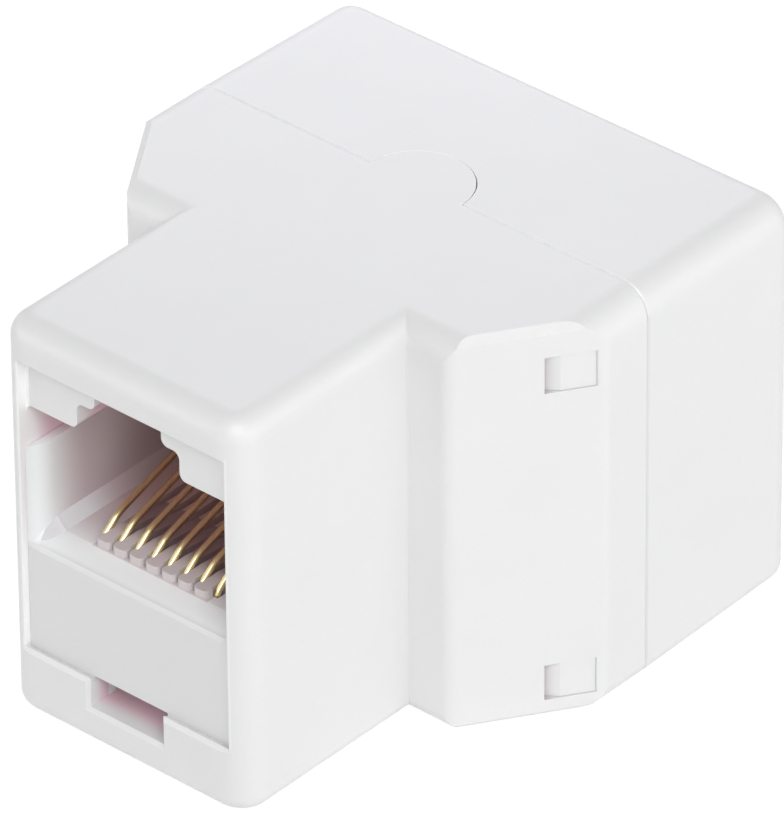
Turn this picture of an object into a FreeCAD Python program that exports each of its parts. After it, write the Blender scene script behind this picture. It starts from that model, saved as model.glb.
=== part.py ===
import FreeCAD, Part
import math
import os

from FreeCAD import Vector

# One-to-two modular plug splitter, in millimetres.
# X runs across, Y from the front socket to the rear pair, Z up from the underside.

# Plug socket: heights
floor_level = 2.0             # bay floor above the underside
sill_height = 1.6             # sill at the mouth above the bay floor
panel_height = 5.75           # carrier's front panel above the sill
shelf_rise = 0.4              # lead-in shelf from the panel's edge to the comb
plug_opening = 7.35           # comb shelf to the underside of the key shoulders
latch_slot_height = 1.47      # wide slot for the plug's latch
latch_ledge_height = 1.19     # ledges that hold the latch down
roof = 2.24                   # wall above the mouth

# Plug socket: widths
plug_width = 11.8             # between the carrier's guide walls
latch_slot_width = 6.38
latch_neck_width = 4.14
notch_width = 4.6
key_corner_radius = 0.4

# Plug socket: depths from its face
key_setback = 0.7
latch_ledge_depth = 1.5
key_shoulder_depth = 8.0
sill_depth = 1.4
rim_chamfer = 0.18
sill_fall = 0.15              # the sill's top falls this far towards the panel

# Housing walls and outer form
neck_wall = 1.1
socket_web = 0.86             # wall between the two rear mouths
rear_wall = 1.02
bay_margin = 0.35             # bay's end behind the shoulder wall
board_space = 5.8             # between the front bay and the rear bays
neck_length = 11.65
shoulder_step = 2.5
shoulder_angle = 33.7         # slanted shoulder from the long axis, degrees
shoulder_wall = 1.0
straight_side = 2.98          # side of the front shell between shoulder and seam
body_floor = 0.9
body_roof = 1.6
rear_draft = 0.15             # how far each rear side leans in over its length

# Edge rounding
neck_front_radius = 1.55
neck_top_radius = 1.2
neck_bottom_radius = 0.8
shoulder_radius = 0.8
shoulder_top_radius = 1.3
shoulder_bottom_radius = 0.8
slant_top_chamfer = 0.38
slant_bottom_chamfer = 0.3
body_top_radius = 1.6
rear_edge_radius = 1.0
rear_edge_inset = 0.1         # rear edges round off inside the bottom edges

# Seam, tongue and lap between the two shells
seam_gap = 0.03
seam_chamfer = 0.08
tongue_radius = 2.8
tongue_clearance = 0.035
tongue_play = 0.02            # the tongue lies this far left and ahead of its notch's middle
lap_length = 1.6
lap_thickness = 1.0
lap_clearance = 0.1

# Snap hooks and their windows
window_height = 2.0
window_length = 2.15
window_setback = 0.35         # from the end of the slanted shoulder
window_margin = 0.05          # from the inner floor or roof
hook_clearance = 0.03
catch_clearance = 0.02
hook_thickness = 1.0
hook_ramp_recess = 0.08
hook_tip_gap = 0.2
hook_bevel_length = 0.5       # lead-in bevel at the hook's tip
hook_bevel_depth = 0.35
hook_side_gap = 0.47
hook_root = 3.0

# Contact carrier
carrier_clearance = 0.02
carrier_side_gap = 0.09       # to the front shell's inner side
carrier_end_gap = 0.5         # to the end of the bay
guide_wall = 0.48
panel_setback = 0.5
panel_edge = 0.15             # chamfer along the panel's top
guide_height = 5.0            # guide walls above the comb shelf
lead_in_depth = 1.2
lead_in_radius = 2.0          # where the lead-in meets the guide wall
comb_front = 2.0
comb_gap = 0.17               # between the noses of two ribs
nose_radius = 0.25
rib_height = 0.45             # comb ribs above the comb shelf
rib_flat = 3.7                # depth where a rib starts to fall to the shelf
rib_end = 7.0                 # depth where it reaches the shelf
slot_depth = 1.4              # wire slots below the comb shelf
carrier_back_wall = 1.0
back_slot_rise = 3.9          # top of the rear comb's slots above the comb shelf
keel_width = 2.0
guide_chamfer = 0.6           # between the guide walls and the comb shelf

# Contact wires
contact_count = 8
contact_pitch = 1.016
wire_width = 0.36
wire_thickness = 0.3
wire_clearance = 0.03         # each side, in the comb
bend_depth = 2.7
knee_depth = 3.72
knee_rise = 0.91              # above the comb shelf
entry_slope = 38.0
beam_slope = 18.0
beam_end = 10.7
entry_bend_radius = 0.35
knee_radius = 2.6
tail_row_step = 1.5           # between a socket's two rows of tails
tail_row_gap = 1.0            # between the nearest rows of front and rear tails

# Circuit board and its posts
board_thickness = 1.2
board_height = 1.7            # underside above the body floor
board_margin = 0.3
board_side_gap = 0.6
post_diameter = 2.0
post_pin_diameter = 1.1
post_pin_clearance = 0.1
side_post_x = 7.8
side_post_depth = 1.6
middle_post_depth = 4.0

# Working allowances of the modelling
overrun = 1.0                 # how far a cutting block reaches past the face it opens
bite = 0.1                    # how far an added piece starts inside its neighbour
match = 0.001                 # positions this close count as equal

# Sizes that follow from the ones above
sill_top = floor_level + sill_height
panel_top = sill_top + panel_height
shelf_level = panel_top + shelf_rise
shoulder_level = shelf_level + plug_opening
ledge_level = shoulder_level + latch_slot_height
mouth_top = ledge_level + latch_ledge_height
height = mouth_top + roof

mouth_width = plug_width + 2 * (guide_wall + carrier_clearance)
neck_width = mouth_width + 2 * neck_wall
socket_offset = (mouth_width + socket_web) / 2
body_width = 2 * mouth_width + socket_web + 2 * rear_wall
bay_depth = neck_length + shoulder_wall + bay_margin
length = 2 * bay_depth + board_space
front_y = -length / 2
rear_y = length / 2

slope = math.tan(math.radians(shoulder_angle))
shoulder_x = neck_width / 2 + shoulder_step
side_x = body_width / 2
shoulder_y = front_y + neck_length
slant_end_y = shoulder_y + (side_x - shoulder_x) / slope
seam_y = slant_end_y + straight_side
body_wall = rear_wall + carrier_clearance - carrier_side_gap
body_bottom_radius = rear_edge_radius + rear_edge_inset
cavity_floor = body_floor
cavity_roof = height - body_roof

window_rear_y = slant_end_y - window_setback
window_front_y = window_rear_y - window_length
window_bases = (
    cavity_floor + window_margin,
    cavity_roof - window_margin - window_height,
)

carrier_width = plug_width + 2 * guide_wall
carrier_depth = bay_depth - carrier_end_gap
guide_top = shelf_level + guide_height
lap_underside = cavity_roof - lap_clearance - lap_thickness
back_wall_top = window_bases[1]
slot_floor = shelf_level - slot_depth
wire_slot = wire_width + 2 * wire_clearance
slot_front = bend_depth - wire_slot / 2
wire_level = slot_floor + wire_thickness / 2
board_base = cavity_floor + board_height
board_top = board_base + board_thickness

# Each socket: name, place of its face's middle, turn about Z
sockets = (
    ("front", Vector(0, front_y, 0), 0),
    ("rear_left", Vector(-socket_offset, rear_y, 0), 180),
    ("rear_right", Vector(socket_offset, rear_y, 0), 180),
)


def box(x_range, y_range, z_range):
    """Block between the given low and high values on each axis."""
    low = Vector(x_range[0], y_range[0], z_range[0])
    size = Vector(x_range[1], y_range[1], z_range[1]) - low
    return Part.makeBox(size.x, size.y, size.z, low)


def centred(width):
    """Range of the given width about zero."""
    return (-width / 2, width / 2)


def profile(points, radii):
    """Flat face whose straight sides are joined by tangent arcs of the given radii."""
    count = len(points)
    starts = []
    ends = []
    edges = []
    for index, point in enumerate(points):
        radius = radii[index]
        if radius == 0:
            starts.append(point)
            ends.append(point)
            continue
        back = (points[index - 1] - point).normalize()
        ahead = (points[(index + 1) % count] - point).normalize()
        half = back.getAngle(ahead) / 2
        reach = radius / math.tan(half)
        middle_way = (back + ahead).normalize()
        middle = point + middle_way * (radius / math.sin(half) - radius)
        starts.append(point + back * reach)
        ends.append(point + ahead * reach)
        edges.append(Part.Arc(starts[-1], middle, ends[-1]).toShape())
    for index in range(count):
        following = (index + 1) % count
        edges.append(Part.LineSegment(ends[index], starts[following]).toShape())
    return Part.Face(Part.Wire(Part.__sortEdges__(edges)))


def plan_prism(outline, z_range, radii=None):
    """Upright prism over a plan outline of (x, y) pairs."""
    points = [Vector(x, y, z_range[0]) for x, y in outline]
    face = profile(points, radii or [0] * len(points))
    return face.extrude(Vector(0, 0, z_range[1] - z_range[0]))


def edges_at(shape, test):
    """Edges whose bounding box passes the test."""
    return [edge for edge in shape.Edges if test(edge.BoundBox)]


def near(a, b):
    """True where two positions count as equal."""
    return abs(a - b) < match


def is_slant(b):
    """True for the box of an edge that runs both across and along, as the slanted sides do."""
    return b.XLength > shoulder_radius and b.YLength > shoulder_radius


def long_edges_rounded(block):
    """Block with its four edges along Y rounded, the top pair on a larger radius."""
    def along(b):
        return b.YLength > b.XLength + b.ZLength
    tops = edges_at(block, lambda b: along(b) and b.ZMin > height / 2)
    block = block.makeFillet(body_top_radius, tops)
    bottoms = edges_at(block, lambda b: along(b) and b.ZMax < height / 2)
    return block.makeFillet(body_bottom_radius, bottoms)


def mirrored(shape):
    """Copy on the other side of the middle plane."""
    return shape.mirror(Vector(0, 0, 0), Vector(1, 0, 0))


def seat(shape, place, turn):
    """Copy of a piece modelled at a socket's face, moved to that socket."""
    moved = shape.copy()
    moved.rotate(Vector(0, 0, 0), Vector(0, 0, 1), turn)
    moved.translate(place)
    return moved


def contact_places():
    """X of each contact wire in its socket."""
    middle = (contact_count - 1) / 2
    return [(index - middle) * contact_pitch for index in range(contact_count)]


def tail_depth(index):
    """Depth of a wire's tail: odd and even wires stand in two rows."""
    last_row = (length - tail_row_gap) / 2
    return last_row - (index + 1) % 2 * tail_row_step


def key_prism(steps, depth_range):
    """Opening above the sill: steps are (width, top) pairs from the mouth upward."""
    right = [(mouth_width / 2, sill_top)]
    radii = [0]
    for index, (width, top) in enumerate(steps):
        right.append((width / 2, top))
        radii.append(key_corner_radius if index < len(steps) - 1 else 0)
        if index < len(steps) - 1:
            right.append((steps[index + 1][0] / 2, top))
            radii.append(key_corner_radius)
    left = [(-x, z) for x, z in reversed(right)]
    outline = right + left
    points = [Vector(x, depth_range[0], z) for x, z in outline]
    face = profile(points, radii + radii[::-1])
    return face.extrude(Vector(0, depth_range[1] - depth_range[0], 0))


def flare(width, low, high, top_flare):
    """Chamfering wedge at a socket's face round an opening from low to high."""
    half = width / 2
    wide = half + rim_chamfer
    return Part.makeWedge(
        -wide, 0, low - rim_chamfer, low, -half, wide, rim_chamfer, high + top_flare, high, half
    )


def socket_cut(depth):
    """Everything that is open in a housing at one socket, down to the given depth."""
    ledge_end = key_setback + latch_ledge_depth
    shoulder_end = key_setback + key_shoulder_depth
    full = (mouth_width, mouth_top)
    mouth = box(centred(mouth_width), (-overrun, key_setback), (sill_top, mouth_top))
    mouth_rim = flare(mouth_width, sill_top, mouth_top, rim_chamfer)
    shoulders = (mouth_width, shoulder_level)
    slot = (latch_slot_width, ledge_level)
    neck = (latch_neck_width, mouth_top)
    keyhole = key_prism((shoulders, slot, neck), (key_setback, ledge_end))
    wide_slot = (latch_slot_width, mouth_top)
    rails = key_prism((shoulders, wide_slot), (ledge_end, shoulder_end))
    bay = key_prism((full,), (shoulder_end, depth))
    drop = box(centred(mouth_width), (sill_depth, depth), (floor_level, sill_top))
    fall = [
        (rim_chamfer, sill_top),
        (panel_setback, sill_top - sill_fall),
        (panel_setback, sill_top + bite),
        (rim_chamfer, sill_top + bite),
    ]
    fall_face = profile([Vector(-mouth_width / 2, y, z) for y, z in fall], [0] * len(fall))
    sill_slope = fall_face.extrude(Vector(mouth_width, 0, 0))
    notch = box(centred(notch_width), (-overrun, sill_depth), (floor_level, sill_top))
    notch_rim = flare(notch_width, floor_level, sill_top, 0)
    return mouth.fuse([mouth_rim, keyhole, rails, bay, drop, sill_slope, notch, notch_rim])


def neck_block():
    """Soft-edged block of the neck, running back past the rounding of the shoulders."""
    back_y = shoulder_y + shoulder_wall + shoulder_top_radius
    block = box(centred(neck_width), (front_y, back_y), (0, height))
    fronts = edges_at(block, lambda b: near(b.YMax, front_y) and near(b.XLength, 0))
    block = block.makeFillet(neck_front_radius, fronts)
    tops = edges_at(block, lambda b: near(b.ZMin, height) and not near(b.YMin, back_y))
    block = block.makeFillet(neck_top_radius, tops)
    bottoms = edges_at(block, lambda b: near(b.ZMax, 0) and not near(b.YMin, back_y))
    return block.makeFillet(neck_bottom_radius, bottoms)


def body_outline(inset, front, back):
    """Plan of the shouldered body, inset from its slanted and straight sides."""
    slant_shift = inset / math.cos(math.radians(shoulder_angle))
    straight_x = side_x - inset
    front_x = shoulder_x + (front - shoulder_y) * slope - slant_shift
    bend_y = shoulder_y + (straight_x + slant_shift - shoulder_x) / slope
    right = [(front_x, front), (straight_x, bend_y), (straight_x, back)]
    return right + [(-x, y) for x, y in reversed(right)]


def body_block():
    """Shouldered body of the front shell up to the seam."""
    radius = shoulder_radius
    outline = body_outline(0, shoulder_y, seam_y)
    prism = plan_prism(outline, (0, height), [radius, radius, 0, 0, radius, radius])
    tops = edges_at(prism, lambda b: near(b.ZMin, height) and is_slant(b))
    prism = prism.makeChamfer(slant_top_chamfer, tops)
    bottoms = edges_at(prism, lambda b: near(b.ZMax, 0) and is_slant(b))
    prism = prism.makeChamfer(slant_bottom_chamfer, bottoms)
    corners = [(shoulder_y, 0), (shoulder_y, height), (seam_y, height), (seam_y, 0)]
    side_face = profile(
        [Vector(-side_x, y, z) for y, z in corners],
        [shoulder_bottom_radius, shoulder_top_radius, 0, 0],
    )
    across_bar = side_face.extrude(Vector(body_width, 0, 0))
    along_bar = long_edges_rounded(
        box(centred(body_width), (shoulder_y, seam_y), (0, height))
    )
    seam_edges = edges_at(along_bar, lambda b: near(b.YMin, seam_y))
    along_bar = along_bar.makeChamfer(seam_chamfer, seam_edges)
    return prism.common(across_bar).common(along_bar)


def half_round(radius, z_range, play):
    """Upright disc on the seam, right of and behind its middle by the given play."""
    centre = Vector(play, seam_y + play, z_range[0])
    return Part.makeCylinder(radius, z_range[1] - z_range[0], centre)


def board_posts():
    """Posts that carry the circuit board: two with locating pins, one plain."""
    posts = []
    places = board_post_places()
    for place in places:
        base = Vector(place.x, place.y, cavity_floor - bite)
        posts.append(Part.makeCylinder(post_diameter / 2, board_base - base.z, base))
        if place.x:
            posts.append(
                Part.makeCylinder(post_pin_diameter / 2, board_top - base.z, base)
            )
    return posts


def board_post_places():
    """Plan positions of the three board posts."""
    bay_end = front_y + bay_depth
    return [
        Vector(-side_post_x, bay_end + side_post_depth, 0),
        Vector(side_post_x, bay_end + side_post_depth, 0),
        Vector(0, bay_end + middle_post_depth, 0),
    ]


def front_housing():
    """Front shell: neck, shoulders, socket, latch windows and tongue."""
    shell = neck_block().fuse(body_block()).removeSplitter()
    cavity_front = shoulder_y + shoulder_wall
    cavity = plan_prism(
        body_outline(body_wall, cavity_front, seam_y + overrun), (cavity_floor, cavity_roof)
    )
    shell = shell.cut(cavity)
    opening = socket_cut(neck_length + shoulder_wall + bite)
    shell = shell.cut(seat(opening, sockets[0][1], 0))
    for base in window_bases:
        window = box(
            (shoulder_x - overrun, side_x + overrun),
            (window_front_y, window_rear_y),
            (base, base + window_height),
        )
        shell = shell.cut([window, mirrored(window)])
    tongue = half_round(tongue_radius, (cavity_roof, height), 0)
    return shell.fuse([tongue] + board_posts()).removeSplitter()


def snap_hook(base):
    """Hook arm on the right side with a bevelled ramp that lies in its window."""
    outer = side_x - body_wall - hook_side_gap
    inner = outer - hook_thickness
    catch_y = window_rear_y - catch_clearance
    recess = hook_ramp_recess / math.cos(math.radians(shoulder_angle))
    catch_x = shoulder_x + (catch_y - shoulder_y) * slope - recess
    ramp_y = shoulder_y + (outer + recess - shoulder_x) / slope
    tip_y = window_front_y + hook_tip_gap
    bevel_y = tip_y + hook_bevel_length
    tip_x = outer - (ramp_y - tip_y) * slope - hook_bevel_depth
    root_y = seam_y + hook_root
    outline = [
        (inner, root_y),
        (inner, tip_y),
        (tip_x, tip_y),
        (outer - (ramp_y - bevel_y) * slope, bevel_y),
        (catch_x, catch_y),
        (outer, catch_y),
        (outer, root_y),
    ]
    return plan_prism(outline, (base + hook_clearance, base + window_height - hook_clearance))


def rear_outer():
    """Closed outer form of the rear shell, leaning in towards its face."""
    start_y = seam_y + seam_gap
    end_x = side_x - rear_draft
    end_top = height - rear_draft
    block = Part.makeWedge(
        -side_x, start_y, 0, rear_draft, -end_x, side_x, rear_y, height, end_top, end_x
    )
    block = long_edges_rounded(block)
    seam_edges = edges_at(block, lambda b: near(b.YMax, start_y))
    block = block.makeChamfer(seam_chamfer, seam_edges)
    rims = edges_at(block, lambda b: near(b.YMin, rear_y))
    return block.makeFillet(rear_edge_radius, rims)


def lap_plates():
    """Plates of the rear shell that reach under the front shell's roof and over its floor."""
    hook_inner = side_x - body_wall - hook_side_gap - hook_thickness
    half = hook_inner - 3 * hook_clearance
    span = (seam_y - lap_length, seam_y + hook_root)
    roof_plate = box((-half, half), span, (lap_underside, lap_underside + lap_thickness))
    floor_plate = box((-half, half), span, (cavity_floor + lap_clearance, floor_level))
    return [roof_plate, floor_plate]


def rear_housing():
    """Rear shell: two sockets, lap plates, snap hooks and the notch for the tongue."""
    shell = rear_outer()
    for name, place, turn in sockets[1:]:
        shell = shell.cut(seat(socket_cut(rear_y - seam_y + overrun), place, turn))
    notch_base = lap_underside + lap_thickness
    notch_radius = tongue_radius + tongue_clearance
    notch = half_round(notch_radius, (notch_base, height + overrun), tongue_play)
    shell = shell.fuse(lap_plates()).cut(notch)
    hooks = [snap_hook(base) for base in window_bases]
    return shell.fuse(hooks + [mirrored(hook) for hook in hooks]).removeSplitter()


def comb_rib(x):
    """Rib of the comb between two contact wires: broad nose, narrower behind, falling to the shelf."""
    nose_half = (contact_pitch - comb_gap) / 2
    width = contact_pitch - wire_slot
    top = shelf_level + rib_height
    nose_plan = [
        (x - nose_half, slot_front),
        (x - nose_half, comb_front),
        (x + nose_half, comb_front),
        (x + nose_half, slot_front),
    ]
    nose = plan_prism(nose_plan, (slot_floor, top), [0, nose_radius, nose_radius, 0])
    side = [
        (slot_front - bite, slot_floor),
        (slot_front - bite, top),
        (rib_flat, top),
        (rib_end, shelf_level),
        (rib_end, slot_floor),
    ]
    face = profile([Vector(x - width / 2, y, z) for y, z in side], [0] * len(side))
    return nose.fuse(face.extrude(Vector(width, 0, 0)))


def guide_strip(route):
    """Chamfer strip in the corner of guide wall and shelf: route is (corner, size) pairs."""
    sections = []
    for corner, size in route:
        ends = [
            corner + Vector(bite, 0, -bite),
            corner + Vector(-size - bite, 0, -bite),
            corner + Vector(bite, 0, size + bite),
        ]
        sections.append(Part.makePolygon(ends + ends[:1]))
    pieces = [
        Part.makeLoft([here, ahead], True, True)
        for here, ahead in zip(sections, sections[1:])
    ]
    return pieces[0].fuse(pieces[1:])


def carrier():
    """Contact carrier: panel, funnel-shaped lead-in, comb, wire slots, guide walls and keels."""
    half = carrier_width / 2
    plug_half = plug_width / 2
    back_wall_y = carrier_depth - carrier_back_wall
    lead_slope = shelf_rise / (comb_front - panel_setback)
    strip_front = panel_setback + panel_edge
    block = box((-half, half), (panel_setback, carrier_depth), (sill_top, guide_top))
    lead = [
        (panel_setback - overrun, guide_top + overrun),
        (panel_setback - overrun, panel_top - panel_edge - overrun * (1 + lead_slope)),
        (strip_front, panel_top + panel_edge * lead_slope),
        (comb_front, shelf_level),
        (back_wall_y, shelf_level),
        (back_wall_y, guide_top + overrun),
    ]
    side_face = profile([Vector(-half, y, z) for y, z in lead], [0] * len(lead))
    side_cut = side_face.extrude(Vector(carrier_width, 0, 0))
    right = [
        (half, panel_setback - overrun),
        (half, panel_setback),
        (plug_half, lead_in_depth),
        (plug_half, back_wall_y),
    ]
    plan = right + [(-x, y) for x, y in reversed(right)]
    bends = [0, 0, lead_in_radius, 0, 0, lead_in_radius, 0, 0]
    plan_cut = plan_prism(plan, (sill_top, guide_top + overrun), bends)
    block = block.cut(side_cut.common(plan_cut))
    flare_way = guide_wall / (lead_in_depth - panel_setback)
    strip_start = Vector(
        half - panel_edge * flare_way, strip_front, panel_top + panel_edge * lead_slope
    )
    strip_bend = Vector(
        plug_half, lead_in_depth, shelf_level - (comb_front - lead_in_depth) * lead_slope
    )
    strip = guide_strip([
        (strip_start, 0),
        (strip_bend, guide_chamfer / 2),
        (Vector(plug_half, comb_front, shelf_level), guide_chamfer),
        (Vector(plug_half, back_wall_y, shelf_level), guide_chamfer),
    ])
    back_wall = box((-half, half), (back_wall_y, carrier_depth), (sill_top, back_wall_top))
    keel_x = notch_width / 2 + 2 * carrier_clearance
    keel = box(
        (keel_x, keel_x + keel_width),
        (sill_depth + 2 * carrier_clearance, carrier_depth),
        (floor_level, sill_top),
    )
    block = block.fuse([back_wall, strip, mirrored(strip), keel, mirrored(keel)])
    places = contact_places()
    block = block.fuse([comb_rib(x + contact_pitch / 2) for x in places[:-1]])
    slots = []
    for x in places:
        across = (x - wire_slot / 2, x + wire_slot / 2)
        slots.append(box(across, (slot_front, back_wall_y), (slot_floor, guide_top)))
        slots.append(
            box(
                across,
                (back_wall_y, carrier_depth),
                (slot_floor, shelf_level + back_slot_rise),
            )
        )
    return block.cut(slots).removeSplitter()


def ribbon(route, radii, thickness):
    """Side outline of a bent strip: its middle line moved half a thickness each way."""
    runs = [(ahead - here).normalize() for here, ahead in zip(route, route[1:])]
    normals = [Vector(0, -run.z, run.y) for run in runs]
    upper = []
    lower = []
    for index, point in enumerate(route):
        before = max(index - 1, 0)
        after = min(index, len(runs) - 1)
        across = normals[before] + normals[after]
        across = across * (1 / (1 + normals[before].dot(normals[after])))
        turn = runs[before].cross(runs[after]).x
        swing = math.copysign(thickness / 2, turn) if radii[index] else 0
        upper.append((point + across * (thickness / 2), radii[index] - swing))
        lower.append((point - across * (thickness / 2), radii[index] + swing))
    corners = upper + lower[::-1]
    return profile([corner for corner, radius in corners], [radius for corner, radius in corners])


def contact_wire(x, index):
    """Spring contact: sloping beam, knee, bend into the comb, run to the back and tail."""
    knee_z = shelf_level + knee_rise
    beam_z = knee_z + (beam_end - knee_depth) * math.tan(math.radians(beam_slope))
    entry_z = knee_z - (knee_depth - bend_depth) * math.tan(math.radians(entry_slope))
    tail_y = tail_depth(index)
    route = [
        (beam_end, beam_z),
        (knee_depth, knee_z),
        (bend_depth, entry_z),
        (bend_depth, wire_level),
        (tail_y, wire_level),
        (tail_y, board_top),
    ]
    radii = [0, knee_radius, entry_bend_radius, 0, 0, 0]
    points = [Vector(x - wire_width / 2, y, z) for y, z in route]
    return ribbon(points, radii, wire_thickness).extrude(Vector(wire_width, 0, 0))


def circuit_board():
    """Board between the carriers, on whose top the contact tails stand."""
    front = front_y + bay_depth + board_margin
    back = rear_y - bay_depth - board_margin
    hook_inner = side_x - body_wall - hook_side_gap - hook_thickness
    half = hook_inner - board_side_gap
    slant_inner = shoulder_x + (front - shoulder_y) * slope
    slant_inner -= body_wall / math.cos(math.radians(shoulder_angle))
    front_half = slant_inner - board_side_gap
    right = [(front_half, front), (half, front + (half - front_half) / slope), (half, back)]
    outline = right + [(-x, y) for x, y in reversed(right)]
    board = plan_prism(outline, (board_base, board_top))
    holes = []
    for place in board_post_places():
        if place.x:
            radius = post_pin_diameter / 2 + post_pin_clearance
            holes.append(
                Part.makeCylinder(radius, board_thickness, Vector(place.x, place.y, board_base))
            )
    return board.cut(holes)


def save(name, shape):
    """Write one sub-part to its own file."""
    shape.exportStep("parts/" + name + ".step")


def main():
    os.makedirs("parts", exist_ok=True)
    save("front_housing", front_housing())
    save("rear_housing", rear_housing())
    save("circuit_board", circuit_board())
    insert = carrier()
    for name, place, turn in sockets:
        save(name + "_insert", seat(insert, place, turn))
        for index, x in enumerate(contact_places()):
            wire = contact_wire(x, index)
            save(name + "_contact_" + str(index + 1), seat(wire, place, turn))


main()
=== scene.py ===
"""Looks of a one-to-two modular plug splitter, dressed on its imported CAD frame."""

import logging
import math
from abc import ABC, abstractmethod
from dataclasses import dataclass
from enum import Enum
from typing import Any

import bpy
from mathutils import Matrix, Vector


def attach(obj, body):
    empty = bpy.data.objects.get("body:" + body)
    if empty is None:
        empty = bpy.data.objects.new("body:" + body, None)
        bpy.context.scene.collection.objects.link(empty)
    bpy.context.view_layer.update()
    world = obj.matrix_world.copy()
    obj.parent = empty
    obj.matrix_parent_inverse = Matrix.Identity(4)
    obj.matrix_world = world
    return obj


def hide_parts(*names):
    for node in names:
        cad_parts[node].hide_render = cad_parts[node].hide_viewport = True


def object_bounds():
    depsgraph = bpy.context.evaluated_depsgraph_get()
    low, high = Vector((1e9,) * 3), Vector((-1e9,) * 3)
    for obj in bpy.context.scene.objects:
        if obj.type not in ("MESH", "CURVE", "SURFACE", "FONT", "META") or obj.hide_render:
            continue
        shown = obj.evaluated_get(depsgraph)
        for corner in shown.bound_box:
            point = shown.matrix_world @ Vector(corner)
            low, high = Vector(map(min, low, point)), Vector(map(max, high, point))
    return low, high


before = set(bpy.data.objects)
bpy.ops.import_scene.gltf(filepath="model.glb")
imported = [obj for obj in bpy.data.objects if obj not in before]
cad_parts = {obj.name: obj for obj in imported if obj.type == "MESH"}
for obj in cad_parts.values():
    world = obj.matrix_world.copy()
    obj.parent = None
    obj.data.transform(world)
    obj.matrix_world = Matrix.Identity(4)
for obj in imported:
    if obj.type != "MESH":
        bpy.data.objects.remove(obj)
CAD_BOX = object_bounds()

Tree = bpy.types.NodeTree
Output = bpy.types.NodeSocket

LOG = logging.getLogger("splitter")
MM = 0.001
IMAGE_WIDTH = 784

# Places on the part in mm: the sockets' faces, which are the ends of the part, then the rear
# sockets' middles and the seam.
FACE_MM = CAD_BOX[1][1] / MM
REAR_MIDDLE_MM = 6.83
SEAM_MM = 5.103

# Sockets of the Mix node when it mixes colours.
MIX_FACTOR, MIX_FIRST, MIX_SECOND, MIX_RESULT = 0, 6, 7, 2


def linear(hex_colour: str) -> tuple[float, float, float, float]:
    """Turn an sRGB hex colour into linear RGBA.

    Args:
        hex_colour: Six hex digits, such as "F0F0F1".

    Returns:
        Linear red, green and blue with an alpha of one.
    """
    channels = []
    for start in (0, 2, 4):
        value = int(hex_colour[start:start + 2], 16) / 255
        if value <= 0.04045:
            channels.append(value / 12.92)
        else:
            channels.append(((value + 0.055) / 1.055) ** 2.4)
    return (channels[0], channels[1], channels[2], 1.0)


def per_mm(feature: float) -> float:
    """Return the noise scale whose features are the given size in millimetres."""
    return 1.0 / (feature * MM)


def add_node(
    tree: Tree,
    kind: str,
    values: dict[Any, Any] | None = None,
    links: dict[Any, Any] | None = None,
    **settings: Any,
) -> bpy.types.Node:
    """Add one node with its settings, socket values and incoming links.

    Args:
        tree: Tree that gets the node.
        kind: Blender's type name of the node.
        values: Socket name or index to constant value.
        links: Socket name or index to the output that feeds it.
        **settings: Properties of the node itself.

    Returns:
        The new node.
    """
    node = tree.nodes.new(kind)
    for name, value in settings.items():
        setattr(node, name, value)
    for socket, value in (values or {}).items():
        node.inputs[socket].default_value = value
    for socket, source in (links or {}).items():
        tree.links.new(source, node.inputs[socket])
    return node


def empty_material(name: str) -> tuple[bpy.types.Material, Tree]:
    """Make a material with no nodes in its tree.

    Args:
        name: Name of the material.

    Returns:
        The material and its node tree.
    """
    material = bpy.data.materials.new(name)
    material.use_nodes = True
    material.node_tree.nodes.clear()
    return material, material.node_tree


def overlap(tree: Tree, *regions: Output) -> Output:
    """Add nodes that hold where all the given regions hold.

    Args:
        tree: Material tree.
        *regions: Outputs that are one inside a region and zero outside it.

    Returns:
        Their product.
    """
    product = regions[0]
    for region in regions[1:]:
        both = add_node(
            tree, "ShaderNodeMath", links={0: product, 1: region}, operation="MULTIPLY"
        )
        product = both.outputs[0]
    return product


def between(tree: Tree, value: Output, low_mm: float, high_mm: float) -> Output:
    """Add the test whether a distance lies between two limits.

    Args:
        tree: Material tree.
        value: Distance in metres.
        low_mm: Lower limit.
        high_mm: Upper limit.

    Returns:
        One between the limits, zero elsewhere.
    """
    above = add_node(
        tree, "ShaderNodeMath", {1: low_mm * MM}, {0: value}, operation="GREATER_THAN"
    )
    below = add_node(
        tree, "ShaderNodeMath", {1: high_mm * MM}, {0: value}, operation="LESS_THAN"
    )
    return overlap(tree, above.outputs[0], below.outputs[0])


@dataclass(frozen=True)
class Tint(ABC):
    """Painted light and shade, laid in the plastic's colour over one region of the part."""

    colour: str

    @abstractmethod
    def factor(self, tree: Tree, place: Output) -> Output:
        """Add nodes for the region.

        Args:
            tree: Material tree.
            place: Object coordinates.

        Returns:
            One in the region, zero outside it.
        """


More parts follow.
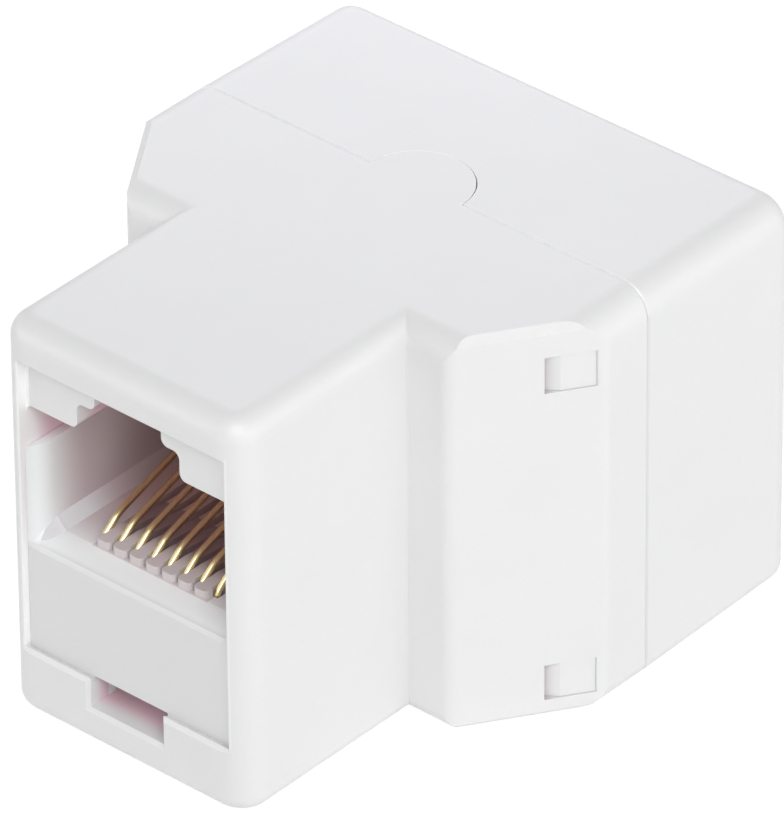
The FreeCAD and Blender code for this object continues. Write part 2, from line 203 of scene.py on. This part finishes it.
@dataclass(frozen=True)
class SocketPaintedLightShade(Tint):
    """Painted light and shade that grow with the depth in a socket, laid in its colour.

    It starts and is full at two depths from the face, and it keeps between two heights and
    between two distances from the socket's middle.
    """

    start_mm: float
    full_mm: float
    above_mm: float = 1.0
    below_mm: float = 20.9
    beyond_mm: float = -1.0
    within_mm: float = 6.9
    rear_start_mm: float = 3.2

    def factor(self, tree: Tree, place: Output) -> Output:
        """Add nodes that follow the depth, height and breadth of the sockets.

        Args:
            tree: Material tree.
            place: Object coordinates.

        Returns:
            One in the region, zero outside it.
        """
        axes = add_node(tree, "ShaderNodeSeparateXYZ", links={0: place}).outputs
        along = add_node(tree, "ShaderNodeMath", links={0: axes["Y"]}, operation="ABSOLUTE")
        depth = add_node(
            tree, "ShaderNodeMapRange",
            {
                "From Min": (FACE_MM - self.start_mm) * MM,
                "From Max": (FACE_MM - self.full_mm) * MM,
            },
            {"Value": along.outputs[0]}, interpolation_type="SMOOTHSTEP",
        )
        # Distance from the socket's middle, which lies off centre at the rear.
        across = add_node(tree, "ShaderNodeMath", links={0: axes["X"]}, operation="ABSOLUTE")
        behind = add_node(
            tree, "ShaderNodeMath", {1: self.rear_start_mm * MM}, {0: axes["Y"]},
            operation="GREATER_THAN",
        )
        offset = add_node(
            tree, "ShaderNodeMath", {1: -REAR_MIDDLE_MM * MM},
            {0: behind.outputs[0], 2: across.outputs[0]}, operation="MULTIPLY_ADD",
        )
        aside = add_node(
            tree, "ShaderNodeMath", links={0: offset.outputs[0]}, operation="ABSOLUTE"
        )
        inside = between(tree, aside.outputs[0], self.beyond_mm, self.within_mm)
        level = between(tree, axes["Z"], self.above_mm, self.below_mm)
        return overlap(tree, depth.outputs["Result"], inside, level)


@dataclass(frozen=True)
class FlankPaintedLightShade(SocketPaintedLightShade):
    """Painted socket light and shade that keep to the slanted flanks at the foot of the guide
    walls.
    """

    above_mm: float = 9.3
    below_mm: float = 10.5
    beyond_mm: float = 5.2
    within_mm: float = 5.95
    steepness: float = 0.3

    def factor(self, tree: Tree, place: Output) -> Output:
        """Add nodes that pick faces turned both up and to the side.

        Args:
            tree: Material tree.
            place: Object coordinates.

        Returns:
            One in the region, zero outside it.
        """
        facing = add_node(tree, "ShaderNodeTexCoord").outputs["Normal"]
        normal = add_node(tree, "ShaderNodeSeparateXYZ", links={0: facing}).outputs
        lean = add_node(tree, "ShaderNodeMath", links={0: normal["X"]}, operation="ABSOLUTE")
        aside = add_node(
            tree, "ShaderNodeMath", {1: self.steepness}, {0: lean.outputs[0]},
            operation="GREATER_THAN",
        )
        upward = add_node(
            tree, "ShaderNodeMath", {1: self.steepness}, {0: normal["Z"]},
            operation="GREATER_THAN",
        )
        socket = super().factor(tree, place)
        return overlap(tree, socket, aside.outputs[0], upward.outputs[0])


@dataclass(frozen=True)
class SeamPaintedLightShade(Tint):
    """Painted shade or painted light, by its colour, on the chamfered edges where the two
    shells meet.
    """

    reach_mm: float = 0.12
    level_mm: tuple[float, float] = (-1.0, 20.6)
    tongue_mm: float = 2.86
    side_mm: float = 20.0

    def factor(self, tree: Tree, place: Output) -> Output:
        """Add nodes that hold a narrow band along the seam, but for the tongue.

        Args:
            tree: Material tree.
            place: Object coordinates.

        Returns:
            One in the region, zero outside it.
        """
        axes = add_node(tree, "ShaderNodeSeparateXYZ", links={0: place}).outputs
        band = between(tree, axes["Y"], SEAM_MM - self.reach_mm, SEAM_MM + self.reach_mm)
        across = add_node(tree, "ShaderNodeMath", links={0: axes["X"]}, operation="ABSOLUTE")
        beside = between(tree, across.outputs[0], self.tongue_mm, self.side_mm)
        level = between(tree, axes["Z"], *self.level_mm)
        return overlap(tree, band, beside, level)


@dataclass(frozen=True)
class TonguePaintedLightShade(Tint):
    """Painted light inside the slit round the front shell's tongue, which lightens its shade.
    """

    radius_mm: tuple[float, float] = (2.79, 2.88)
    level_mm: tuple[float, float] = (20.6, 21.99)

    def factor(self, tree: Tree, place: Output) -> Output:
        """Add nodes that hold a ring of the tongue's radius, below the top face.

        Args:
            tree: Material tree.
            place: Object coordinates.

        Returns:
            One in the region, zero outside it.
        """
        axes = add_node(tree, "ShaderNodeSeparateXYZ", links={0: place}).outputs
        # Distance from the tongue's axis, which stands upright on the seam.
        flat = add_node(
            tree, "ShaderNodeVectorMath",
            {1: (1.0, 1.0, 0.0), 2: (0.0, -SEAM_MM * MM, 0.0)},
            {0: place}, operation="MULTIPLY_ADD",
        )
        radius = add_node(
            tree, "ShaderNodeVectorMath", links={0: flat.outputs["Vector"]}, operation="LENGTH"
        )
        ring = between(tree, radius.outputs["Value"], *self.radius_mm)
        return overlap(tree, ring, between(tree, axes["Z"], *self.level_mm))


@dataclass(frozen=True)
class HookPaintedLightShade(Tint):
    """Painted shade on the snap hooks' bevelled tips, where they lead down into the dark of the
    shell.

    The slanted shoulder is given by its distance from the part's middle and its angle. The
    tone starts and is full at two places along the part, and ends at a third.
    """

    shoulder_mm: float = 10.678
    shoulder_angle: float = 33.7
    start_mm: float = 0.22
    full_mm: float = -0.38
    front_mm: float = -0.8
    sunk_mm: tuple[float, float] = (0.03, 1.2)
    level_mm: tuple[float, float] = (0.9, 20.4)

    def factor(self, tree: Tree, place: Output) -> Output:
        """Add nodes that hold what lies under the slanted face near a hook's tip.

        Args:
            tree: Material tree.
            place: Object coordinates.

        Returns:
            One in the region, zero outside it.
        """
        axes = add_node(tree, "ShaderNodeSeparateXYZ", links={0: place}).outputs
        # Depth under the slanted face of the shoulder.
        turn = math.radians(self.shoulder_angle)
        across = add_node(tree, "ShaderNodeMath", links={0: axes["X"]}, operation="ABSOLUTE")
        face = add_node(
            tree, "ShaderNodeMath", {1: math.sin(turn), 2: self.shoulder_mm * MM},
            {0: axes["Y"]}, operation="MULTIPLY_ADD",
        )
        sunk = add_node(
            tree, "ShaderNodeMath", {1: -math.cos(turn)},
            {0: across.outputs[0], 2: face.outputs[0]}, operation="MULTIPLY_ADD",
        )
        fade = add_node(
            tree, "ShaderNodeMapRange",
            {"From Min": self.start_mm * MM, "From Max": self.full_mm * MM},
            {"Value": axes["Y"]}, interpolation_type="SMOOTHSTEP",
        )
        return overlap(
            tree, fade.outputs["Result"],
            between(tree, axes["Y"], self.front_mm, self.start_mm),
            between(tree, sunk.outputs[0], *self.sunk_mm),
            between(tree, axes["Z"], *self.level_mm),
        )


@dataclass(frozen=True)
class MouldedPlastic:
    """Injection-moulded plastic: near-even white, satin, with a faint skin texture and painted
    light and shade.
    """

    name: str
    colour: str
    cloud: str
    painted_tones: tuple[Tint, ...]
    roughness_low: float
    roughness_high: float
    subsurface: float
    scatter_mm: float
    scatter_ratio: tuple[float, float, float] = (1.0, 0.8, 0.75)
    clouding_mm: float = 5.0
    clouding_detail: float = 3.0
    skin_mm: float = 0.35
    skin_detail: float = 4.0
    skin_crispness: float = 0.6
    skin_depth_mm: float = 0.004
    grain_mm: float = 0.11
    grain_detail: float = 2.0
    grain_depth_mm: float = 0.0012
    ior: float = 1.50

    def material(self) -> bpy.types.Material:
        """Build the plastic's node material.

        Returns:
            The finished material.
        """
        material, tree = empty_material(self.name)
        place = add_node(tree, "ShaderNodeTexCoord").outputs["Object"]
        # Slow clouding of the pigment, a percent or so either way.
        clouds = add_node(
            tree, "ShaderNodeTexNoise",
            {"Scale": per_mm(self.clouding_mm), "Detail": self.clouding_detail},
            {"Vector": place},
        )
        colour = add_node(
            tree, "ShaderNodeMix", links={MIX_FACTOR: clouds.outputs["Fac"]}, data_type="RGBA",
            values={MIX_FIRST: linear(self.colour), MIX_SECOND: linear(self.cloud)},
        )
        # Painted light and shade of single regions, each laid over the ones before it.
        tone = colour.outputs[MIX_RESULT]
        for painted_tone in self.painted_tones:
            toned = add_node(
                tree, "ShaderNodeMix", {MIX_SECOND: linear(painted_tone.colour)},
                {MIX_FACTOR: painted_tone.factor(tree, place), MIX_FIRST: tone}, data_type="RGBA",
            )
            tone = toned.outputs[MIX_RESULT]
        # The skin left by the mould, drawn coarse enough to show: it varies the sheen.
        skin = add_node(
            tree, "ShaderNodeTexNoise",
            {
                "Scale": per_mm(self.skin_mm),
                "Detail": self.skin_detail,
                "Roughness": self.skin_crispness,
            },
            {"Vector": place},
        )
        sheen = add_node(
            tree, "ShaderNodeMapRange",
            {"To Min": self.roughness_low, "To Max": self.roughness_high},
            {"Value": skin.outputs["Fac"]},
        )
        grain = add_node(
            tree, "ShaderNodeTexNoise",
            {"Scale": per_mm(self.grain_mm), "Detail": self.grain_detail},
            {"Vector": place},
        )
        relief = add_node(
            tree, "ShaderNodeBump",
            {"Strength": 1.0, "Distance": self.skin_depth_mm * MM},
            {"Height": skin.outputs["Fac"]},
        )
        fine = add_node(
            tree, "ShaderNodeBump",
            {"Strength": 1.0, "Distance": self.grain_depth_mm * MM},
            {"Height": grain.outputs["Fac"], "Normal": relief.outputs["Normal"]},
        )
        surface = add_node(
            tree, "ShaderNodeBsdfPrincipled",
            {
                "IOR": self.ior,
                "Subsurface Weight": self.subsurface,
                "Subsurface Radius": self.scatter_ratio,
                "Subsurface Scale": self.scatter_mm * MM,
            },
            {
                "Base Color": tone,
                "Roughness": sheen.outputs["Result"],
                "Normal": fine.outputs["Normal"],
            },
        )
        add_node(
            tree, "ShaderNodeOutputMaterial", links={"Surface": surface.outputs["BSDF"]}
        )
        return material


@dataclass(frozen=True)
class PlatedWire:
    """Gold flash over drawn phosphor-bronze wire: bright, with fine lengthwise streaks."""

    name: str
    colour: str
    shade: str
    roughness_low: float
    roughness_high: float
    streak_mm: tuple[float, float, float] = (0.05, 1.6, 0.05)
    streak_detail: float = 3.0
    streak_depth_mm: float = 0.0015

    def material(self) -> bpy.types.Material:
        """Build the plating's node material.

        Returns:
            The finished material.
        """
        material, tree = empty_material(self.name)
        place = add_node(tree, "ShaderNodeTexCoord").outputs["Object"]
        # Lines left by the drawing die, wider than real ones so that they show.
        drawn = add_node(
            tree, "ShaderNodeMapping",
            {"Scale": tuple(per_mm(size) for size in self.streak_mm)}, {"Vector": place},
        )
        streaks = add_node(
            tree, "ShaderNodeTexNoise", {"Scale": 1.0, "Detail": self.streak_detail},
            {"Vector": drawn.outputs["Vector"]},
        )
        colour = add_node(
            tree, "ShaderNodeMix", links={MIX_FACTOR: streaks.outputs["Fac"]}, data_type="RGBA",
            values={MIX_FIRST: linear(self.colour), MIX_SECOND: linear(self.shade)},
        )
        sheen = add_node(
            tree, "ShaderNodeMapRange",
            {"To Min": self.roughness_low, "To Max": self.roughness_high},
            {"Value": streaks.outputs["Fac"]},
        )
        relief = add_node(
            tree, "ShaderNodeBump",
            {"Strength": 1.0, "Distance": self.streak_depth_mm * MM},
            {"Height": streaks.outputs["Fac"]},
        )
        surface = add_node(
            tree, "ShaderNodeBsdfPrincipled", {"Metallic": 1.0},
            {
                "Base Color": colour.outputs[MIX_RESULT],
                "Roughness": sheen.outputs["Result"],
                "Normal": relief.outputs["Normal"],
            },
        )
        add_node(
            tree, "ShaderNodeOutputMaterial", links={"Surface": surface.outputs["BSDF"]}
        )
        return material


@dataclass(frozen=True)
class BoardLaminate:
    """Glass-fibre laminate under green solder mask: a woven cloth just shows through."""

    name: str
    colour: str
    weave: str
    weave_mm: float = 0.5
    roughness: float = 0.42

    def material(self) -> bpy.types.Material:
        """Build the laminate's node material.

        Returns:
            The finished material.
        """
        material, tree = empty_material(self.name)
        place = add_node(tree, "ShaderNodeTexCoord").outputs["Object"]
        cloth = add_node(
            tree, "ShaderNodeTexChecker", {"Scale": per_mm(self.weave_mm)}, {"Vector": place}
        )
        colour = add_node(
            tree, "ShaderNodeMix", links={MIX_FACTOR: cloth.outputs["Fac"]}, data_type="RGBA",
            values={MIX_FIRST: linear(self.colour), MIX_SECOND: linear(self.weave)},
        )
        surface = add_node(
            tree, "ShaderNodeBsdfPrincipled", {"Roughness": self.roughness},
            {"Base Color": colour.outputs[MIX_RESULT]},
        )
        add_node(
            tree, "ShaderNodeOutputMaterial", links={"Surface": surface.outputs["BSDF"]}
        )
        return material


# Pigmented ABS, injection-moulded: a clean, even white with a soft satin sheen. Rosy painted
# shade deepens into its sockets, and its joints carry painted shade and painted light.
SHELL = MouldedPlastic(
    name="white_abs_satin_moulding",
    colour="EDEDED", cloud="E9E9E9",
    painted_tones=(
        # Painted light on the mouth's inner sides, then rosy painted shade in the socket and
        # latch notch.
        SocketPaintedLightShade(
            "FFFFFF", start_mm=0.08, full_mm=0.2,
            above_mm=3.7, below_mm=20.0, beyond_mm=6.2, within_mm=6.6,
        ),
        SocketPaintedLightShade("EDCAD5", start_mm=0.7, full_mm=2.6),
        SocketPaintedLightShade("EDCAD5", start_mm=0.4, full_mm=1.6, below_mm=3.3, within_mm=3.0),
        # Painted shade on the top of the sill, where it falls away under the carrier's panel.
        SocketPaintedLightShade(
            "E2E1E2", start_mm=0.2, full_mm=0.45,
            above_mm=3.3, below_mm=3.62, within_mm=6.4,
        ),
        # Painted shade on the side seam, painted light in the tongue's slit and on the top
        # seam, then painted shade on the hooks' tips.
        SeamPaintedLightShade("E4E4E5"),
        TonguePaintedLightShade("FFFFFF"),
        SeamPaintedLightShade("F5F5F6", level_mm=(21.5, 23.0)),
        HookPaintedLightShade("CAC1C4"),
    ),
    roughness_low=0.30, roughness_high=0.44,
    subsurface=0.15, scatter_mm=0.3,
)
# Moulded polyester: duller than the shells, painted light at the mouth and mauve painted shade
# in the depth.
CARRIER = MouldedPlastic(
    name="white_polyester_moulding",
    colour="E8E8E8", cloud="E4E4E4",
    painted_tones=(
        # Painted light on the ends of the guide walls and the start of walls and shelf; painted
        # shade on the start of the walls' flanks.
        SocketPaintedLightShade("F4F4F4", start_mm=0.3, full_mm=0.45, above_mm=9.4, beyond_mm=5.88),
        SocketPaintedLightShade("F9FEFE", start_mm=0.5, full_mm=1.0),
        FlankPaintedLightShade("DADCDE", start_mm=0.5, full_mm=0.6),
        # Painted shade darkening the walls inwards, with a strip of painted light along their
        # foot.
        SocketPaintedLightShade("DACDD0", start_mm=0.9, full_mm=4.2),
        FlankPaintedLightShade("ECEEF1", start_mm=1.5, full_mm=2.4),
        FlankPaintedLightShade("DACDD0", start_mm=3.4, full_mm=6.0),
        SocketPaintedLightShade("C4B1B4", start_mm=5.0, full_mm=8.5),
        # Painted shade on the comb's noses and rib tops, painted light in the slots between
        # them, and painted shade on the shelf behind.
        SocketPaintedLightShade("D8D0D1", start_mm=1.9, full_mm=1.99, below_mm=10.3, within_mm=3.6),
        SocketPaintedLightShade(
            "A2868A", start_mm=2.5, full_mm=5.0,
            above_mm=9.7, below_mm=10.3, within_mm=3.6,
        ),
        SocketPaintedLightShade("F4ECEE", start_mm=2.4, full_mm=2.6, below_mm=9.7, within_mm=3.6),
        SocketPaintedLightShade("D2B2AF", start_mm=4.0, full_mm=7.0, below_mm=9.78, within_mm=5.3),
    ),
    roughness_low=0.40, roughness_high=0.55,
    subsurface=0.2, scatter_mm=0.35,
)
# Gold flash on drawn bronze: a warm, bright line along each wire, broken by fine streaks.
PLATING = PlatedWire(
    name="gold_flashed_bronze_wire",
    colour="F6E9B9", shade="E4CF98",
    roughness_low=0.16, roughness_high=0.30,
)
# Solder mask on glass cloth: dark green with a faint weave, deep behind the sockets.
LAMINATE = BoardLaminate(
    name="green_masked_glass_laminate", colour="1F5A33", weave="27663C",
)


class Socket(Enum):
    """The three plug sockets: place of the face's middle in mm and way in along Y."""

    FRONT = ("front", 0.0, -FACE_MM, 1)
    REAR_LEFT = ("rear_left", -REAR_MIDDLE_MM, FACE_MM, -1)
    REAR_RIGHT = ("rear_right", REAR_MIDDLE_MM, FACE_MM, -1)

    @property
    def label(self) -> str:
        """Name that the socket's nodes start with."""
        return self.value[0]

    def point(self, across: float, depth: float, height: float) -> Vector:
        """Return a point of the socket in metres.

        Args:
            across: Distance right of the socket's middle, seen from its face, in mm.
            depth: Distance in from its face, in mm.
            height: Height above the underside, in mm.

        Returns:
            The point in the part's frame.
        """
        _, x, y, way = self.value
        return Vector((x + way * across, y + way * depth, height)) * MM


@dataclass
class ContactRow:
    """Sprung contact wires of one socket, swept along their bends by Geometry Nodes."""

    socket: Socket
    count: int = 8
    pitch: float = 1.016
    diameter: float = 0.36
    shelf: float = 9.75
    slot_floor: float = 8.35
    board_top: float = 3.8
    bend_depth: float = 2.7
    knee_depth: float = 3.72
    knee_rise: float = 0.91
    entry_slope: float = 38.0
    beam_slope: float = 18.0
    beam_end: float = 10.7
    tail_depths: tuple[float, float] = (13.9, 15.4)
    bend_radii: tuple[float, ...] = (0.0, 2.6, 0.35, 0.4, 0.6, 0.0)
    sides: int = 16
    bend_steps: int = 6

    @property
    def repeat(self) -> int:
        """How many wires differ in their tails before the row repeats."""
        return len(self.tail_depths)

    def route(self, index: int) -> list[tuple[float, float]]:
        """Return the bends of one wire as depth and height.

        Args:
            index: Which wire, counted from the socket's left.

        Returns:
            Corner points from the free end to the tail, in mm.
        """
        knee = self.shelf + self.knee_rise
        rise = (self.beam_end - self.knee_depth) * math.tan(math.radians(self.beam_slope))
        drop = (self.knee_depth - self.bend_depth) * math.tan(math.radians(self.entry_slope))
        run = self.slot_floor + self.diameter / 2
        tail = self.tail_depths[index % self.repeat]
        return [
            (self.beam_end, knee + rise),
            (self.knee_depth, knee),
            (self.bend_depth, knee - drop),
            (self.bend_depth, run),
            (tail, run),
            (tail, self.board_top),
        ]

    def centre_lines(self) -> bpy.types.Object:
        """Make the centre lines of the wires that repeat, as a mesh of loose edges.

        Returns:
            The object that carries the lines and each corner's bend radius.
        """
        points = []
        edges = []
        for index in range(self.repeat):
            across = (index - (self.count - 1) / 2) * self.pitch
            start = len(points)
            for depth, height in self.route(index):
                points.append(self.socket.point(across, depth, height))
            edges += [(i, i + 1) for i in range(start, len(points) - 1)]
        mesh = bpy.data.meshes.new(f"{self.socket.label}_contacts")
        mesh.from_pydata(points, edges, [])
        radii = mesh.attributes.new("bend_radius", "FLOAT", "POINT")
        radii.data.foreach_set("value", [r * MM for r in self.bend_radii] * self.repeat)
        wires = bpy.data.objects.new(f"{self.socket.label}_contacts", mesh)
        bpy.context.scene.collection.objects.link(wires)
        return wires

    def sweep_tree(self, finish: bpy.types.Material) -> Tree:
        """Build the tree that rounds the bends, sweeps the wires and repeats them.

        Args:
            finish: Material of the wires.

        Returns:
            The Geometry Nodes tree.
        """
        tree = bpy.data.node_groups.new("contact_row", "GeometryNodeTree")
        kinds = {
            "Geometry": "NodeSocketGeometry",
            "Wire Radius": "NodeSocketFloat",
            "Copies": "NodeSocketInt",
            "Copy Step": "NodeSocketVector",
            "Sides": "NodeSocketInt",
            "Bend Steps": "NodeSocketInt",
        }
        for name, kind in kinds.items():
            tree.interface.new_socket(name, in_out="INPUT", socket_type=kind)
        tree.interface.new_socket("Geometry", in_out="OUTPUT", socket_type=kinds["Geometry"])
        given = add_node(tree, "NodeGroupInput").outputs
        lines = add_node(tree, "GeometryNodeMeshToCurve", links={"Mesh": given["Geometry"]})
        radius = add_node(
            tree, "GeometryNodeInputNamedAttribute", {"Name": "bend_radius"}, data_type="FLOAT"
        )
        bends = add_node(
            tree, "GeometryNodeFilletCurve", {"Limit Radius": True},
            {
                "Curve": lines.outputs["Curve"],
                "Count": given["Bend Steps"],
                "Radius": radius.outputs["Attribute"],
            },
            mode="POLY",
        )
        section = add_node(
            tree, "GeometryNodeCurvePrimitiveCircle",
            links={"Resolution": given["Sides"], "Radius": given["Wire Radius"]},
        )
        wire = add_node(
            tree, "GeometryNodeCurveToMesh", {"Fill Caps": True},
            {"Curve": bends.outputs["Curve"], "Profile Curve": section.outputs["Curve"]},
        )
        steps = add_node(
            tree, "GeometryNodeMeshLine",
            links={"Count": given["Copies"], "Offset": given["Copy Step"]},
        )
        row = add_node(
            tree, "GeometryNodeInstanceOnPoints",
            links={"Points": steps.outputs["Mesh"], "Instance": wire.outputs["Mesh"]},
        )
        solid = add_node(
            tree, "GeometryNodeRealizeInstances", links={"Geometry": row.outputs["Instances"]}
        )
        dressed = add_node(
            tree, "GeometryNodeSetMaterial", {"Material": finish},
            {"Geometry": solid.outputs["Geometry"]},
        )
        add_node(tree, "NodeGroupOutput", links={"Geometry": dressed.outputs["Geometry"]})
        return tree

    def build(self, finish: bpy.types.Material) -> bpy.types.Object:
        """Make the row as one mesh that stands for the socket's contact nodes.

        Args:
            finish: Material of the wires.

        Returns:
            The finished row.
        """
        wires = self.centre_lines()
        tree = self.sweep_tree(finish)
        step = self.socket.point(self.repeat * self.pitch, 0, 0) - self.socket.point(0, 0, 0)
        sizes = {
            "Wire Radius": self.diameter / 2 * MM,
            "Copies": self.count // self.repeat,
            "Copy Step": step,
            "Sides": self.sides,
            "Bend Steps": self.bend_steps,
        }
        modifier = wires.modifiers.new("contact_row", "NODES")
        modifier.node_group = tree
        for item in tree.interface.items_tree:
            if item.in_out == "INPUT" and item.name in sizes:
                modifier[item.identifier] = sizes[item.name]
        depsgraph = bpy.context.evaluated_depsgraph_get()
        mesh = bpy.data.meshes.new_from_object(wires.evaluated_get(depsgraph))
        wires.modifiers.clear()
        wires.data = mesh
        mesh.shade_smooth()
        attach(wires, "root")
        nodes = [f"{self.socket.label}_contact_{i + 1}" for i in range(self.count)]
        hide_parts(*nodes)
        return wires


@dataclass
class Mouldings:
    """Shells, contact carriers and board, which keep their CAD solids."""

    shells: tuple[str, ...] = ("front_housing", "rear_housing")
    carriers: tuple[str, ...] = ("front_insert", "rear_left_insert", "rear_right_insert")
    boards: tuple[str, ...] = ("circuit_board",)

    def dress(self) -> None:
        """Give every carried-over node its finish."""
        for finish, names in (
            (SHELL, self.shells), (CARRIER, self.carriers), (LAMINATE, self.boards)
        ):
            material = finish.material()
            for name in names:
                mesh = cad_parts[name].data
                mesh.materials.clear()
                mesh.materials.append(material)
                LOG.info("dressed %s in %s", name, finish.name)


@dataclass(frozen=True)
class SoftBox:
    """A square lamp panel aimed at the part."""

    name: str
    place: tuple[float, float, float]
    size: float
    power: float
    colour: str = "FFFFFF"


@dataclass
class LightTent:
    """White tent: even world light, soft panels, and a floor that reads as white."""

    world_level: float = 0.305
    aim: tuple[float, float, float] = (0.0, 0.0, 0.011)
    floor_size: float = 3.0
    floor_drop: float = 0.00002
    card_glow: float = 0.90
    card_shade: str = "7A7A7A"
    floor_colour: str = "F2F2F2"
    panels: tuple[SoftBox, ...] = (
        SoftBox("right_front_panel", (0.25, -0.22, 0.30), size=0.30, power=1.065),
        SoftBox("left_front_low_panel", (-0.34, -0.28, 0.05), size=0.30, power=0.55),
        SoftBox("left_low_panel", (-0.44, 0.0, 0.06), size=0.30, power=0.15),
        SoftBox("right_low_panel", (0.44, 0.02, 0.04), size=0.30, power=0.385),
        SoftBox("right_rear_near_panel", (0.10, 0.06, 0.05), size=0.08, power=0.0165),
        SoftBox(
            "left_rear_near_panel", (-0.05, 0.06, 0.06), size=0.06, power=0.022,
            colour="F4F4FF",
        ),
    )

    def seen(self, tree: Tree) -> Output:
        """Add the test for rays that should meet plain white.

        Args:
            tree: World or floor tree.

        Returns:
            Output that is one for camera, glossy and transmitted rays.
        """
        rays = add_node(tree, "ShaderNodeLightPath").outputs
        bright = add_node(
            tree, "ShaderNodeMath",
            links={0: rays["Is Glossy Ray"], 1: rays["Is Transmission Ray"]},
            operation="MAXIMUM",
        )
        either = add_node(
            tree, "ShaderNodeMath",
            links={0: rays["Is Camera Ray"], 1: bright.outputs["Value"]},
            operation="MAXIMUM",
        )
        return either.outputs["Value"]

    def sky(self) -> None:
        """Set the world: even light on the part, white where it is seen."""
        world = bpy.data.worlds.new("tent")
        world.use_nodes = True
        tree = world.node_tree
        tree.nodes.clear()
        light = add_node(
            tree, "ShaderNodeBackground",
            {"Color": linear("FFFFFF"), "Strength": self.world_level},
        )
        white = add_node(
            tree, "ShaderNodeBackground", {"Color": linear("FFFFFF"), "Strength": 1.0}
        )
        mixed = add_node(
            tree, "ShaderNodeMixShader",
            links={0: self.seen(tree), 1: light.outputs[0], 2: white.outputs[0]},
        )
        add_node(tree, "ShaderNodeOutputWorld", links={"Surface": mixed.outputs[0]})
        bpy.context.scene.world = world

    def floor(self) -> None:
        """Lay the floor, whose shadow stays faint on white."""
        material, tree = empty_material("white_tent_floor")
        lit = add_node(
            tree, "ShaderNodeBsdfDiffuse", {"Color": linear(self.floor_colour)}
        )
        glow = add_node(
            tree, "ShaderNodeEmission",
            {"Color": linear("FFFFFF"), "Strength": self.card_glow},
        )
        shade = add_node(
            tree, "ShaderNodeBsdfDiffuse", {"Color": linear(self.card_shade)}
        )
        card = add_node(
            tree, "ShaderNodeAddShader", links={0: glow.outputs[0], 1: shade.outputs[0]}
        )
        mixed = add_node(
            tree, "ShaderNodeMixShader",
            links={0: self.seen(tree), 1: lit.outputs[0], 2: card.outputs[0]},
        )
        add_node(tree, "ShaderNodeOutputMaterial", links={"Surface": mixed.outputs[0]})
        half = self.floor_size / 2
        corners = [(-half, -half), (half, -half), (half, half), (-half, half)]
        mesh = bpy.data.meshes.new("floor")
        mesh.from_pydata([(x, y, -self.floor_drop) for x, y in corners], [], [(0, 1, 2, 3)])
        mesh.materials.append(material)
        ground = bpy.data.objects.new("floor", mesh)
        bpy.context.scene.collection.objects.link(ground)

    def lamps(self) -> None:
        """Hang the soft panels round the part."""
        for panel in self.panels:
            light = bpy.data.lights.new(panel.name, "AREA")
            light.shape = "SQUARE"
            light.size = panel.size
            light.energy = panel.power
            light.color = linear(panel.colour)[:3]
            lamp = bpy.data.objects.new(panel.name, light)
            lamp.location = panel.place
            way = Vector(self.aim) - Vector(panel.place)
            lamp.rotation_euler = way.to_track_quat("-Z", "Y").to_euler()
            lamp.visible_camera = False
            bpy.context.scene.collection.objects.link(lamp)

    def build(self) -> None:
        """Set up world, floor and lamps."""
        self.sky()
        self.floor()
        self.lamps()


@dataclass(frozen=True)
class Viewpoint:
    """Camera that stands where the photograph was taken."""

    target_mm: tuple[float, float, float] = (3.821, -1.125, 14.121)
    distance_mm: float = 520.79
    azimuth: float = 41.413
    elevation: float = 34.100
    roll: float = -0.499
    focal_px: float = 11113.13
    sensor_mm: float = 36.0
    clip_m: tuple[float, float] = (0.01, 20.0)

    def build(self) -> bpy.types.Object:
        """Make the camera and set it as the scene's own.

        Returns:
            The camera.
        """
        az, el, roll = (math.radians(a) for a in (self.azimuth, self.elevation, self.roll))
        ahead = Vector((
            -math.sin(az) * math.cos(el), math.cos(az) * math.cos(el), -math.sin(el)
        ))
        level = Vector((math.cos(az), math.sin(az), 0.0))
        upright = level.cross(ahead)
        right = math.cos(roll) * level + math.sin(roll) * upright
        up = math.cos(roll) * upright - math.sin(roll) * level
        lens = bpy.data.cameras.new("photo_camera")
        lens.sensor_fit = "HORIZONTAL"
        lens.sensor_width = self.sensor_mm
        lens.lens = self.focal_px * self.sensor_mm / IMAGE_WIDTH
        lens.clip_start, lens.clip_end = self.clip_m
        camera = bpy.data.objects.new("photo_camera", lens)
        turn = Matrix((right, up, -ahead)).transposed().to_4x4()
        place = (Vector(self.target_mm) - ahead * self.distance_mm) * MM
        camera.matrix_world = Matrix.Translation(place) @ turn
        bpy.context.scene.collection.objects.link(camera)
        bpy.context.scene.camera = camera
        return camera


def main() -> None:
    """Dress the part, light it and set the camera."""
    logging.basicConfig(level=logging.INFO, format="%(name)s: %(message)s")
    bpy.context.scene.view_settings.view_transform = "Standard"
    Mouldings().dress()
    plating = PLATING.material()
    for socket in Socket:
        row = ContactRow(socket).build(plating)
        LOG.info("built %s with %d faces", row.name, len(row.data.polygons))
    LightTent().build()
    Viewpoint().build()


if __name__ == "__main__":
    main()
